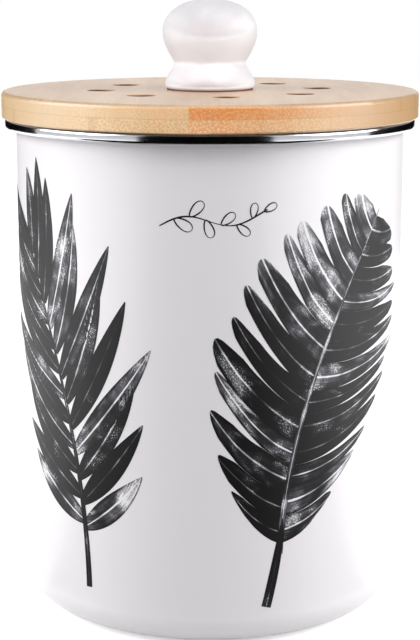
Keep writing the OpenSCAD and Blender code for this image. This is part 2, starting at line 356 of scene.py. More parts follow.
@dataclass(frozen=True)
class LaminatedBamboo:
    """Bamboo strips glued side by side in two layers, sanded and lacquered.

    The fibres run along Y. Where a face lies along them, on top and at the sides, the wood is
    a pale tan with fine streaks, warmer towards one side, and greyish on top, where a painted
    sheen greys it. Where it cuts them, at the front and back, it shows the dots of the fibre
    ends, and a painted shade darkens it towards the right. Strips near the middle come from
    darker cane, so they are orange with pale dots, and the walls of the vent holes are a darker
    brown.
    """

    # The board, its layers and strips, and the vents drilled through it.
    board_radius_mm: float
    board_low_mm: float
    board_top_mm: float
    layer_mm: float = 6.0
    layer_ease: float = 1e-4
    strip_mm: float = 21.0
    strip_start_mm: float = -8.8
    vents: int = 8
    vent_turn: float = 8.0
    vent_circle_mm: float = 50.5
    vent_radius_mm: float = 6.4
    drill_ease_mm: float = 0.1
    vent_wall_brown: str = "#6E4222"

    # The lacquered surface, whose grain still shows.
    roughness: float = 0.42
    ior: float = 1.5
    lacquer: float = 0.6
    lacquer_roughness: float = 0.35
    grain_depth_mm: float = 0.08
    grain_strength: float = 0.2
    streak_mm: float = 0.9
    streak_length_mm: float = 30.0
    cloud_mm: float = 9.0
    cloud_length_mm: float = 90.0
    streak_detail: float = 3.0
    streak_contrast: float = 0.6

    # Faces along the fibres, flat and at the sides. The flat faces' colours are the wood's own
    # tan greyed by a painted sheen.
    face_light: str = "#C4AB8F"
    face_dark: str = "#A88564"
    face_stops: Point = (0.1, 0.8)
    face_tone: float = -0.35
    strip_tone: float = 0.22
    cloud_tone: float = 0.9
    streak_tone: float = 0.6
    side_pale: str = "#C9AC85"
    side_warm: str = "#B38E64"
    side_stops: Point = (0.3, 1.0)
    side_streak_tone: float = 0.5

    # Faces that cut the fibres: how far their normal points along the fibres where the cut
    # ends start to show and fully do, and how dark the cane is at the left, before and after
    # the darkest strip's edge and at the right.
    cut_normals: Point = (0.66, 0.98)
    cane_greys: tuple[str, ...] = ("#101010", "#505050", "#FFFFFF", "#808080")
    cane_right: float = 0.95
    cane_edge: float = 0.001
    cane_lower: float = 0.55
    end_light: str = "#E8C89C"
    end_dark: str = "#E08B3E"
    end_stops: Point = (0.0, 0.9)
    end_strip_tone: float = 0.12
    end_cloud_tone: float = 0.5
    # Painted shade: where the cut ends darken towards the right, and how far towards the side's
    # warm tan.
    painted_shade_spread: Point = (0.55, 0.85)
    painted_shade_tone: float = 0.75

    # Cut fibres, drawn a little coarser than the real ones so that they show.
    fibre_mm: float = 1.15
    dot_pale: str = "#F6DAB4"
    dot_dark: str = "#C8955C"
    dot_rim: Point = (0.2, 0.42)
    dot_tone: float = 0.7
    dot_upper: float = 0.5

    # Lines: knuckles across the strips, and glue between strips and between layers.
    line_brown: str = "#8C5A30"
    knuckle_mm: float = 230.0
    knuckle_reach_mm: float = 1.84
    knuckle_tone: float = 0.25
    glue_reach_mm: float = 0.147
    glue_tone: float = 0.1
    split_reach_mm: float = 0.21
    split_tone: float = 0.2

    def material(self) -> bpy.types.Material:
        """Builds the material.

        Returns:
            The material.
        """
        g = Graph("laminated_bamboo")
        grain = self._grain(g)
        normal = g.add("NewGeometry").outputs["True Normal"]
        facing = g.add("SeparateXYZ", {}, {0: normal})
        flat = g.add("Math", {"operation": "ABSOLUTE"}, {0: facing.outputs["Z"]})
        along = g.add("Mix", {"data_type": "RGBA"},
                      {SHARE: flat.outputs[0], FIRST: self._side(grain),
                       SECOND: self._face(grain)})
        cutting = g.add("Math", {"operation": "ABSOLUTE"}, {0: facing.outputs["Y"]})
        low, high = self.cut_normals
        share = g.add("MapRange", {"interpolation_type": "SMOOTHSTEP", "From Min": low,
                                   "From Max": high}, {"Value": cutting.outputs[0]})
        wood = g.add("Mix", {"data_type": "RGBA"},
                     {SHARE: share.outputs[0], FIRST: along.outputs[BLEND],
                      SECOND: self._end(grain)})
        color = self._vents(grain, self._lines(grain, wood.outputs[BLEND]))
        bump = g.add("Bump", {"Strength": self.grain_strength,
                              "Distance": self.grain_depth_mm * MM}, {"Height": grain.fibres})
        return g.finish(g.add("BsdfPrincipled", {
            "Roughness": self.roughness, "IOR": self.ior, "Coat Weight": self.lacquer,
            "Coat Roughness": self.lacquer_roughness},
            {"Base Color": color, "Normal": bump.outputs[0]}))

    def _grain(self, g: Graph) -> Grain:
        """Adds the measures of the strips, layers and fibres.

        Args:
            g: The material's graph.

        Returns:
            Their sockets.
        """
        at = g.add("TexCoord").outputs["Object"]
        place = g.add("SeparateXYZ", {}, {0: at})
        height = g.add("Math", {"operation": "MULTIPLY_ADD", 1: 1 / (self.layer_mm * MM),
                                2: self.layer_ease - self.board_low_mm / self.layer_mm},
                       {0: place.outputs["Z"]}).outputs[0]
        layer = g.add("Math", {"operation": "FLOOR"}, {0: height}).outputs[0]
        upper = g.add("Math", {"operation": "GREATER_THAN", 1: 0.5}, {0: layer})
        across = g.add("Math", {"operation": "MULTIPLY_ADD", 1: 1 / (self.strip_mm * MM),
                                2: -self.strip_start_mm / self.strip_mm},
                       {0: place.outputs["X"]}).outputs[0]
        strip = g.add("Math", {"operation": "FLOOR"}, {0: across}).outputs[0]
        cell = g.add("CombineXYZ", {}, {"X": strip, "Y": layer})
        chance = g.add("TexWhiteNoise", {"noise_dimensions": "3D"}, {0: cell.outputs[0]})
        reach = self.board_radius_mm * MM
        spread = g.add("MapRange", {"From Min": -reach, "From Max": reach},
                       {"Value": place.outputs["X"]})
        return Grain(g, place, height, upper.outputs[0], across, chance.outputs["Value"],
                     spread.outputs[0],
                     self._streaks(g, at, self.streak_mm, self.streak_length_mm),
                     self._streaks(g, at, self.cloud_mm, self.cloud_length_mm))

    def _streaks(self, g: Graph, at: Any, across_mm: float, along_mm: float) -> Any:
        """Adds noise that is drawn out along Y.

        Args:
            g: The material's graph.
            at: Socket with the object coordinates.
            across_mm: Mean width of a streak.
            along_mm: Mean length of a streak.

        Returns:
            The socket with the noise.
        """
        scale = (1 / (across_mm * MM), 1 / (along_mm * MM), 1 / (across_mm * MM))
        placed = g.add("Mapping", {"Scale": scale}, {"Vector": at})
        return g.add("TexNoise", {"Scale": 1.0, "Detail": self.streak_detail,
                                  "Roughness": self.streak_contrast},
                     {"Vector": placed.outputs[0]}).outputs[0]

    def _side(self, grain: Grain) -> Any:
        """Adds the colour of a side along the fibres, warmer to the right.

        Args:
            grain: The shared sockets.

        Returns:
            The socket with the colour.
        """
        g = grain.graph
        streaky = g.add("Math", {"operation": "MULTIPLY_ADD", 1: self.side_streak_tone},
                        {0: grain.fibres, 2: grain.spread})
        stops = list(zip(self.side_stops, (self.side_pale, self.side_warm)))
        return g.add("ValToRGB", {"stops": stops}, {"Fac": streaky.outputs[0]}).outputs[0]

    def _face(self, grain: Grain) -> Any:
        """Adds the colour of a flat face along the fibres, greyed by a painted sheen.

        Args:
            grain: The shared sockets.

        Returns:
            The socket with the colour.
        """
        g = grain.graph
        start = g.add("Math", {"operation": "MULTIPLY_ADD", 1: self.strip_tone,
                               2: self.face_tone}, {0: grain.chance})
        cloudy = g.add("Math", {"operation": "MULTIPLY_ADD", 1: self.cloud_tone},
                       {0: grain.clouds, 2: start.outputs[0]})
        streaky = g.add("Math", {"operation": "MULTIPLY_ADD", 1: self.streak_tone},
                        {0: grain.fibres, 2: cloudy.outputs[0]})
        stops = list(zip(self.face_stops, (self.face_light, self.face_dark)))
        return g.add("ValToRGB", {"stops": stops}, {"Fac": streaky.outputs[0]}).outputs[0]

    def _end(self, grain: Grain) -> Any:
        """Adds the colour of cut fibre ends, with a painted shade that darkens them towards the
        right.

        Args:
            grain: The shared sockets.

        Returns:
            The socket with the colour.
        """
        g = grain.graph
        edge = (self.strip_start_mm / self.board_radius_mm + 1) / 2
        left, before, after, right = self.cane_greys
        cane = g.add("ValToRGB", {"stops": [
            (0.0, left), (edge - self.cane_edge, before), (edge + self.cane_edge, after),
            (self.cane_right, right)]}, {"Fac": grain.spread}).outputs[0]
        fresh = self._cut_cane(grain, cane)
        # Painted shade: the cut ends turn darker towards the board's right.
        start, end = self.painted_shade_spread
        painted_shade = g.add("MapRange", {"From Min": start, "From Max": end,
                                    "To Max": self.painted_shade_tone}, {"Value": grain.spread})
        ground = g.add("Mix", {"data_type": "RGBA", SECOND: hex_linear(self.side_warm)},
                       {SHARE: painted_shade.outputs[0], FIRST: fresh})
        dot = g.add("Mix", {"data_type": "RGBA", FIRST: hex_linear(self.dot_dark),
                            SECOND: hex_linear(self.dot_pale)}, {SHARE: cane})
        return g.add("Mix", {"data_type": "RGBA"},
                     {SHARE: self._dots(grain), FIRST: ground.outputs[BLEND],
                      SECOND: dot.outputs[BLEND]}).outputs[BLEND]

    def _cut_cane(self, grain: Grain, cane: Any) -> Any:
        """Adds the colour of a strip's cut end between its fibres.

        Args:
            grain: The shared sockets.
            cane: Socket with how dark the cane is.

        Returns:
            The socket with the colour.
        """
        g = grain.graph
        layered = g.add("MapRange", {"To Min": self.cane_lower, "To Max": 1.0},
                        {"Value": grain.upper})
        warm = g.add("Math", {"operation": "MULTIPLY"}, {0: cane, 1: layered.outputs[0]})
        own = g.add("Math", {"operation": "MULTIPLY_ADD", 1: self.end_strip_tone},
                    {0: grain.chance, 2: warm.outputs[0]})
        cloudy = g.add("Math", {"operation": "MULTIPLY_ADD", 1: self.end_cloud_tone,
                                2: -self.end_cloud_tone / 2}, {0: grain.clouds})
        tone = g.add("Math", {"operation": "ADD"}, {0: own.outputs[0], 1: cloudy.outputs[0]})
        stops = list(zip(self.end_stops, (self.end_light, self.end_dark)))
        return g.add("ValToRGB", {"stops": stops}, {"Fac": tone.outputs[0]}).outputs[0]

    def _dots(self, grain: Grain) -> Any:
        """Adds the dots of the cut fibres, which show more in the lower layer.

        Args:
            grain: The shared sockets.

        Returns:
            The socket with how much a dot shows.
        """
        g = grain.graph
        flat = g.add("CombineXYZ", {}, {"X": grain.place.outputs["X"],
                                        "Y": grain.place.outputs["Z"]})
        cells = g.add("TexVoronoi", {"voronoi_dimensions": "2D",
                                     "Scale": 1 / (self.fibre_mm * MM)},
                      {"Vector": flat.outputs[0]})
        inside = g.add("MapRange", {"From Min": self.dot_rim[0], "From Max": self.dot_rim[1],
                                    "To Min": self.dot_tone, "To Max": 0.0},
                       {"Value": cells.outputs["Distance"]})
        shown = g.add("MapRange", {"To Min": 1.0, "To Max": self.dot_upper},
                      {"Value": grain.upper})
        return g.add("Math", {"operation": "MULTIPLY"},
                     {0: inside.outputs[0], 1: shown.outputs[0]}).outputs[0]

    def _lines(self, grain: Grain, color: Any) -> Any:
        """Adds glue lines between strips and layers and knuckle lines across the strips.

        Args:
            grain: The shared sockets.
            color: Socket with the wood's colour so far.

        Returns:
            The socket with the colour.
        """
        g = grain.graph
        glue = g.add("Math", {"operation": "PINGPONG", 1: 0.5}, {0: grain.across})
        glue_line = g.add("Math", {"operation": "LESS_THAN",
                                   1: self.glue_reach_mm / self.strip_mm},
                          {0: glue.outputs[0]})
        middle = g.add("Math", {"operation": "SUBTRACT", 1: 1.0}, {0: grain.height})
        split = g.add("Math", {"operation": "ABSOLUTE"}, {0: middle.outputs[0]})
        split_line = g.add("Math", {"operation": "LESS_THAN",
                                    1: self.split_reach_mm / self.layer_mm},
                           {0: split.outputs[0]})
        along = g.add("Math", {"operation": "MULTIPLY_ADD", 1: 1 / (self.knuckle_mm * MM)},
                      {0: grain.place.outputs["Y"], 2: grain.chance})
        knuckle = g.add("Math", {"operation": "PINGPONG", 1: 0.5}, {0: along.outputs[0]})
        share = g.add("MapRange", {"From Max": self.knuckle_reach_mm / self.knuckle_mm,
                                   "To Min": self.knuckle_tone, "To Max": 0.0},
                      {"Value": knuckle.outputs[0]})
        for line, tone in ((glue_line, self.glue_tone), (split_line, self.split_tone)):
            share = g.add("Math", {"operation": "MULTIPLY_ADD", 1: tone},
                          {0: line.outputs[0], 2: share.outputs[0]})
        return g.add("Mix", {"data_type": "RGBA", SECOND: hex_linear(self.line_brown)},
                     {SHARE: share.outputs[0], FIRST: color}).outputs[BLEND]

    def _vents(self, grain: Grain, color: Any) -> Any:
        """Browns the walls of the drilled vent holes.

        Args:
            grain: The shared sockets.
            color: Socket with the wood's colour so far.

        Returns:
            The socket with the finished colour.
        """
        g = grain.graph
        x, y, z = (grain.place.outputs[axis] for axis in "XYZ")
        bearing = g.add("Math", {"operation": "ARCTAN2"}, {0: y, 1: x})
        turned = g.add("Math", {"operation": "SUBTRACT", 1: math.radians(self.vent_turn)},
                       {0: bearing.outputs[0]})
        off = g.add("Math", {"operation": "PINGPONG", 1: math.pi / self.vents},
                    {0: turned.outputs[0]})
        aside = g.add("Math", {"operation": "MULTIPLY", 1: self.vent_circle_mm * MM},
                      {0: off.outputs[0]})
        flat = g.add("CombineXYZ", {}, {"X": x, "Y": y})
        reach = g.add("VectorMath", {"operation": "LENGTH"}, {0: flat.outputs[0]})
        inward = g.add("Math", {"operation": "SUBTRACT", 1: self.vent_circle_mm * MM},
                       {0: reach.outputs["Value"]})
        apart = g.add("CombineXYZ", {}, {"X": aside.outputs[0], "Y": inward.outputs[0]})
        distance = g.add("VectorMath", {"operation": "LENGTH"}, {0: apart.outputs[0]})
        near = g.add("Math", {"operation": "LESS_THAN",
                              1: (self.vent_radius_mm + self.drill_ease_mm) * MM},
                     {0: distance.outputs["Value"]})
        below = g.add("Math", {"operation": "LESS_THAN",
                               1: (self.board_top_mm - self.drill_ease_mm) * MM}, {0: z})
        share = g.add("Math", {"operation": "MULTIPLY"},
                      {0: near.outputs[0], 1: below.outputs[0]})
        return g.add("Mix", {"data_type": "RGBA", SECOND: hex_linear(self.vent_wall_brown)},
                     {SHARE: share.outputs[0], FIRST: color}).outputs[BLEND]


@dataclass(frozen=True)
class InkWash:
    """Ceramic ink brushed in thin washes and fired under the gloss of the enamel.

    Each stroke runs from nearly black to grey along its brush marks, with the white of the
    enamel grinning through where the brush ran dry. Every pair of numbers is where a change
    starts and ends, in the noise or in the distance from the stroke's middle.
    """

    enamel: VitreousEnamel
    black: str = "#0B0B0C"
    dark: str = "#222225"
    middle: str = "#56565B"
    light: str = "#A6A6AA"
    tone_stops: tuple[float, ...] = (0.38, 0.56, 0.74, 0.9, 1.0)
    streak_mm: float = 0.7
    streak_length_mm: float = 24.0
    streak_detail: float = 4.0
    streak_contrast: float = 0.6
    streak_tone: float = 0.55
    pool_mm: float = 15.0
    pool_detail: float = 3.0
    pool_tone: float = 1.5
    grain_mm: float = 0.5
    grain_detail: float = 2.0
    dry_pools: Point = (0.5, 0.62)
    dry_grains: Point = (0.55, 0.68)
    dry_tone: float = 0.45
    vein: Point = (0.03, 0.11)
    vein_tone: float = 0.42
    edge: Point = (0.72, 1.0)
    edge_tone: float = -0.25
    roughness: float = 0.5
    ior: float = 1.4

    def material(self) -> bpy.types.Material:
        """Builds the material.

        Returns:
            The material.
        """
        g = Graph("ink_wash")
        brush = g.add("Attribute", {"attribute_name": "brush"}).outputs["Vector"]
        wash = g.add("Attribute", {"attribute_name": "wash"}).outputs["Vector"]
        part = g.add("SeparateXYZ", {}, {"Vector": wash})
        stretch = (1 / self.streak_length_mm, 1 / self.streak_mm, 1.0)
        placed = g.add("Mapping", {"Scale": stretch}, {"Vector": brush})
        streak = g.add("TexNoise", {"Scale": 1.0, "Detail": self.streak_detail,
                                    "Roughness": self.streak_contrast},
                       {"Vector": placed.outputs[0]})
        pool = g.add("TexNoise", {"Scale": 1 / self.pool_mm, "Detail": self.pool_detail},
                     {"Vector": brush})
        grain = g.add("TexNoise", {"Scale": 1 / self.grain_mm, "Detail": self.grain_detail},
                      {"Vector": brush})
        level = self._blend(g, streak, self.streak_tone, part.outputs["Z"])
        level = self._blend(g, pool, self.pool_tone, level)
        dry = self._dry(g, pool, grain)
        side = g.add("Math", {"operation": "ABSOLUTE"}, {0: part.outputs["Y"]})
        vein = g.add("MapRange", {"From Min": self.vein[0], "From Max": self.vein[1],
                                  "To Min": self.vein_tone, "To Max": 0.0},
                     {"Value": side.outputs[0]})
        edge = g.add("MapRange", {"From Min": self.edge[0], "From Max": self.edge[1],
                                  "To Max": self.edge_tone}, {"Value": side.outputs[0]})
        for extra in (dry, vein, edge):
            level = g.add("Math", {"operation": "ADD"},
                          {0: extra.outputs[0], 1: level}).outputs[0]
        inks = (self.black, self.dark, self.middle, self.light, self.enamel.white)
        color = g.add("ValToRGB", {"stops": list(zip(self.tone_stops, inks))}, {"Fac": level})
        return g.finish(g.add("BsdfPrincipled", {
            "Roughness": self.roughness, "IOR": self.ior}, {"Base Color": color.outputs[0]}))

    def _blend(self, g: Graph, noise: Any, amount: float, level: Any) -> Any:
        """Adds a noise to the tone, round the noise's mean of one half.

        Args:
            g: The material's graph.
            noise: The noise node.
            amount: How much of it is added.
            level: Socket with the tone so far.

        Returns:
            The socket with the new tone.
        """
        centred = g.add("Math", {"operation": "SUBTRACT", 1: 0.5}, {0: noise.outputs[0]})
        return g.add("Math", {"operation": "MULTIPLY_ADD", 1: amount},
                     {0: centred.outputs[0], 2: level}).outputs[0]

    def _dry(self, g: Graph, pool: Any, grain: Any) -> Any:
        """Adds the flecks of a dry brush, which gather in patches.

        Args:
            g: The material's graph.
            pool: The broad noise node.
            grain: The fine noise node.

        Returns:
            The node with how much the flecks lighten the ink.
        """
        patch = g.add("MapRange", {"From Min": self.dry_pools[0],
                                   "From Max": self.dry_pools[1]}, {"Value": pool.outputs[0]})
        fleck = g.add("MapRange", {"From Min": self.dry_grains[0],
                                   "From Max": self.dry_grains[1],
                                   "To Max": self.dry_tone}, {"Value": grain.outputs[0]})
        return g.add("Math", {"operation": "MULTIPLY"},
                     {0: patch.outputs[0], 1: fleck.outputs[0]})


@dataclass(frozen=True)
class StageWhite:
    """Seamless paper: pure white to the camera but for the caddy's shadow and a painted shade
    round it.

    It throws back less light than it shows, so the caddy's front keeps its shading.
    """

    white: str = "#F2F2F2"
    bounce: str = "#C4C4C4"
    painted_shade_glow: float = 0.5
    far_lift: float = 1.0
    painted_shade_mm: float = 110.0
    painted_shade_end_mm: float = 450.0

    def material(self) -> bpy.types.Material:
        """Builds the material.

        Returns:
            The material.
        """
        g = Graph("stage_white")
        path = g.add("LightPath")
        seen = g.add("Math", {"operation": "MAXIMUM"},
                     {0: path.outputs["Is Camera Ray"], 1: path.outputs["Is Glossy Ray"]})
        at = g.add("TexCoord").outputs["Object"]
        reach = g.add("VectorMath", {"operation": "LENGTH"}, {0: at})
        # Painted shade: the paper glows less near the caddy, so it looks darker round its foot.
        lift = g.add("MapRange", {"From Min": self.painted_shade_mm * MM, "From Max": self.painted_shade_end_mm * MM,
                                  "To Min": self.painted_shade_glow, "To Max": self.far_lift},
                     {"Value": reach.outputs["Value"]})
        strength = g.add("Math", {"operation": "MULTIPLY"},
                         {0: seen.outputs[0], 1: lift.outputs[0]})
        glow = g.add("Emission", {"Color": WHITE}, {"Strength": strength.outputs[0]})
        tone = g.add("Mix", {"data_type": "RGBA", FIRST: hex_linear(self.bounce),
                             SECOND: hex_linear(self.white)}, {SHARE: seen.outputs[0]})
        paper = g.add("BsdfDiffuse", {}, {"Color": tone.outputs[BLEND]})
        return g.finish(g.add("AddShader", {}, {0: paper.outputs[0], 1: glow.outputs[0]}))


@dataclass(frozen=True)
class BlackFlock:
    """Black flocked card that darkens what a polished surface mirrors."""

    black: str = "#0A0A0A"

    def material(self) -> bpy.types.Material:
        """Builds the material."""
        g = Graph("black_flock")
        return g.finish(g.add("BsdfDiffuse", {"Color": hex_linear(self.black)}))


# --- Meshes --------------------------------------------------------------------------------

TURN_STEPS = 256
ON_AXIS_MM = 1e-6
SHARP_ANGLE = math.radians(35)


def mesh_piece(name: str, points: list, faces: list, material: bpy.types.Material) -> Any:
    """Makes a smooth-shaded piece from points in millimetres.

    Args:
        name: Name of the piece.
        points: Corner points in millimetres.
        faces: Corner numbers of each face.
        material: Its finish.

    Returns:
        The new object.
    """
    mesh = bpy.data.meshes.new(name)
    mesh.from_pydata([Vector(p) * MM for p in points], [], faces)
    mesh.materials.append(material)
    mesh.shade_smooth()
    mesh.set_sharp_from_angle(angle=SHARP_ANGLE)
    piece = bpy.data.objects.new(name, mesh)
    bpy.context.scene.collection.objects.link(piece)
    return piece


def arc(centre: Point, radius: float, start: float, end: float, steps: int = 10) -> list[Point]:
    """Returns points along an arc.

    Args:
        centre: Its centre.
        radius: Its radius.
        start: Where it starts, in degrees anticlockwise from +r.
        end: Where it ends.
        steps: How many straight pieces stand for it.

    Returns:
        The points, from start to end.
    """
    angles = [math.radians(start + (end - start) * i / steps) for i in range(steps + 1)]
    return [(centre[0] + radius * math.cos(a), centre[1] + radius * math.sin(a)) for a in angles]


def lathe(name: str, outline: list[Point], material: bpy.types.Material,
          closed: bool = False) -> Any:
    """Turns an outline about Z.

    Args:
        name: Name of the piece.
        outline: Radius and height of each point, anticlockwise with +r to the right.
        material: Its finish.
        closed: Whether the outline ends where it starts, off the axis.

    Returns:
        The new object.
    """
    points: list = []
    rows: list = []
    for r, z in outline:
        count = 1 if r < ON_AXIS_MM else TURN_STEPS
        rows.append(list(range(len(points), len(points) + count)))
        for i in range(count):
            a = 2 * math.pi * i / TURN_STEPS
            points.append((r * math.cos(a), r * math.sin(a), z))
    pairs = list(zip(rows, rows[1:])) + ([(rows[-1], rows[0])] if closed else [])
    faces = []
    for low, high in pairs:
        for i in range(TURN_STEPS):
            j = (i + 1) % TURN_STEPS
            corners = [low[i % len(low)], low[j % len(low)],
                       high[j % len(high)], high[i % len(high)]]
            faces.append(list(dict.fromkeys(corners)))
    return mesh_piece(name, points, faces, material)


def dress(node: str, material: bpy.types.Material) -> None:
    """Gives a CAD node its finish.

    Args:
        node: Name of the node.
        material: Its finish.
    """
    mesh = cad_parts[node].data
    mesh.materials.clear()
    mesh.materials.append(material)
    LOG.info("dressed %s", node)


def settle(piece: Any, body: str, *nodes: str, slot: str | None = None) -> None:
    """Makes a piece ride on a body, in place of the nodes it stands for.

    Args:
        piece: The piece.
        body: Name of the body it rides on.
        nodes: CAD nodes it replaces.
        slot: The record's material slot; not used.
    """
    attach(piece, body)
    if nodes:
        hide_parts(*nodes)
    LOG.info("built %s with %d faces", piece.name, len(piece.data.polygons))


def node_size(node: str) -> Place:
    """Returns a round CAD node's radius and its lowest and highest point, in millimetres."""
    low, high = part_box(node)
    return min(high.x, high.y) / MM, low.z / MM, high.z / MM


# --- Canister ------------------------------------------------------------------------------


@dataclass
class Canister:
    """Enamelled steel canister with the polished band round its rim."""

    enamel: bpy.types.Material
    steel: bpy.types.Material
    wall: float = 1.0
    side_rings: tuple[float, ...] = (60.0, 110.0, 160.0)
    corner: float = 18.0
    foot_width: float = 14.0
    foot_ease: float = 0.3
    foot_step: float = 0.2
    floor_rise: float = 3.0
    lip_bend: float = 1.2
    mouth_bend: float = 0.6
    band_reach: float = 5.2
    band_sheet: float = 0.6
    band_edge: float = 1.6
    band_gap: float = 0.05
    radius: float = field(init=False)
    band_radius: float = field(init=False)
    rim: float = field(init=False)
    band_low: float = field(init=False)

    def __post_init__(self) -> None:
        """Takes the driving sizes from the frame."""
        self.band_radius, self.band_low, self.rim = node_size("rim_band")
        self.radius = self.band_radius - self.band_reach

    def build(self) -> None:
        """Builds the shell and the band."""
        shell = lathe("enamel_canister", self._shell_outline(), self.enamel)
        settle(shell, "caddy", "body_shell", slot="enamel")
        band = lathe("polished_rim_band", self._band_outline(), self.steel, closed=True)
        settle(band, "caddy", "rim_band", slot="polished_steel")

    def _shell_outline(self) -> list[Point]:
        """Draws the shell's section.

        Returns:
            Its outline, from the middle of the underside round to the middle of the inside.
        """
        r, w, c, rise = self.radius, self.wall, self.corner, self.floor_rise
        ease, step, bend, mouth = self.foot_ease, self.foot_step, self.lip_bend, self.mouth_bend
        lip_top = self.rim - self.band_sheet
        lip_low = lip_top - w
        lip_r = self.band_radius - self.band_edge
        foot_in = r - c - self.foot_width
        inner_foot = foot_in + w * math.sqrt(2)
        return [
            (0.0, rise), (foot_in - rise - 2 * ease, rise),
            (foot_in - rise + step, rise - ease), (foot_in - ease, ease),
            (foot_in + 2 * ease, 0.0), *arc((r - c, c), c, -90, 0, 16),
            *[(r, z) for z in (*self.side_rings, lip_low - bend)],
            *arc((r + bend, lip_low - bend), bend, 180, 90, 4),
            *arc((lip_r - w / 2, lip_top - w / 2), w / 2, -90, 90, 6),
            *arc((r - w + mouth, lip_top - mouth), mouth, 90, 180, 4),
            *[(r - w, z) for z in reversed(self.side_rings)],
            *arc((r - c, c), c - w, 0, -90, 12),
            (inner_foot - step, w), (inner_foot - rise - 4 * step, rise + w - step),
            (inner_foot - rise - 8 * step, rise + w), (0.0, rise + w),
        ]

    def _band_outline(self) -> list[Point]:
        """Draws the band's section, a sheet folded over the lip and back under it.

        Returns:
            Its outline, from under the lip round the outside and back along the inside.
        """
        low, top, t, e = self.band_low, self.rim, self.band_sheet, self.band_edge
        turn_r = self.band_radius - e
        mouth = self.radius - self.wall
        wall_side = self.radius + self.band_gap
        return [
            (wall_side, low), *arc((turn_r, low + e), e, -90, 0, 8),
            *arc((turn_r, top - e), e, 0, 90, 8),
            *arc((mouth + t / 2, top - t / 2), t / 2, 90, 270, 6),
            *arc((turn_r, top - e), e - t, 90, 0, 6),
            *arc((turn_r, low + e), e - t, 0, -90, 6), (wall_side, low + t),
        ]


# --- Printed leaves ------------------------------------------------------------------------

# Points across a narrow stroke, what sets each stroke apart in the ink's noise, and how late
# along a stroke its tone fades.
ROW_POINTS = 5
STROKE_SHIFT = 7.31
FADE_POWER = 3


def bezier(ends: list[Point], t: float) -> tuple[Vector, Vector]:
    """Follows a quadratic curve.

    Args:
        ends: Start, control and end point.
        t: Share of the way, from 0 to 1.

    Returns:
        The point there and the unit direction.
    """
    a, b, c = (Vector(p) for p in ends)
    point = a * (1 - t) ** 2 + b * 2 * t * (1 - t) + c * t ** 2
    heading = (b - a) * (1 - t) + (c - b) * t
    return point, heading.normalized()


def stroke_row(point: Vector, way: Vector, half: float) -> list[Vector]:
    """Returns the flat points of a row across a stroke.

    Args:
        point: Its middle.
        way: Unit direction of the stroke there.
        half: Half of the stroke's width.

    Returns:
        The points, from the right to the left of the direction.
    """
    normal = Vector((-way.y, way.x))
    return [point + normal * half * (2 * j / (ROW_POINTS - 1) - 1) for j in range(ROW_POINTS)]


def turned(way: Vector, angle: float) -> Vector:
    """Returns a flat direction turned anticlockwise by an angle in radians."""
    c, s = math.cos(angle), math.sin(angle)
    return Vector((way.x * c - way.y * s, way.x * s + way.y * c))


class Print:
    """A mesh of printed ink that lies on the round wall.

    Points are given flat, as arc length round the wall from its front and height. Each vertex
    keeps where it is on its brush stroke: "brush" holds the place along and across in
    millimetres and the stroke's number, and "wash" holds the share of the length, the side
    from -1 to 1 and the tone from 0, black, to 1, bare enamel.
    """

    def __init__(self, name: str, radius: float, lift: float = 0.05,
                 layer: float = 0.0012) -> None:
        """Starts an empty print.

        Args:
            name: Name of the piece.
            radius: Radius of the wall in millimetres.
            lift: Height of the first stroke over the wall in millimetres.
            layer: How much higher each stroke lies than the one before.
        """
        self.name = name
        self.radius = radius
        self.lift = lift
        self.layer = layer
        self.points: list = []
        self.faces: list = []
        self.brush: list = []
        self.wash: list = []
        self.strokes = 0

    def stroke(self, rows: list[list[Vector]], tone: float, fade: float = 0.0) -> None:
        """Lays one stroke.

        Args:
            rows: Flat points across the stroke, row by row along it.
            tone: Its tone at the start.
            fade: How much lighter it is at its end.
        """
        self.strokes += 1
        reach = self.radius + self.lift + self.layer * self.strokes
        first = len(self.points)
        width = len(rows[0])
        middle = width // 2
        along = 0.0
        for i, row in enumerate(rows):
            if i:
                along += (row[middle] - rows[i - 1][middle]).length
            across = 0.0
            for j, p in enumerate(row):
                if j:
                    across += (p - row[j - 1]).length
                angle = p.x / self.radius
                self.points.append((reach * math.sin(angle), -reach * math.cos(angle), p.y))
                share = i / (len(rows) - 1)
                self.brush.append((along, across, self.strokes * STROKE_SHIFT))
                self.wash.append((share, 2 * j / (width - 1) - 1,
                                  tone + fade * share ** FADE_POWER))
        u, v = rows[1][0] - rows[0][0], rows[1][1] - rows[1][0]
        flip = u.x * v.y - u.y * v.x < 0
        for i in range(len(rows) - 1):
            for j in range(width - 1):
                a = first + i * width + j
                corners = [a, a + width, a + width + 1, a + 1]
                self.faces.append(corners[::-1] if flip else corners)

    def piece(self, material: bpy.types.Material) -> Any:
        """Makes the object.

        Args:
            material: The ink.

        Returns:
            The new object.
        """
        made = mesh_piece(self.name, self.points, self.faces, material)
        for key, values in (("brush", self.brush), ("wash", self.wash)):
            attribute = made.data.attributes.new(key, "FLOAT_VECTOR", "POINT")
            attribute.data.foreach_set("vector", [x for v in values for x in v])
        return made


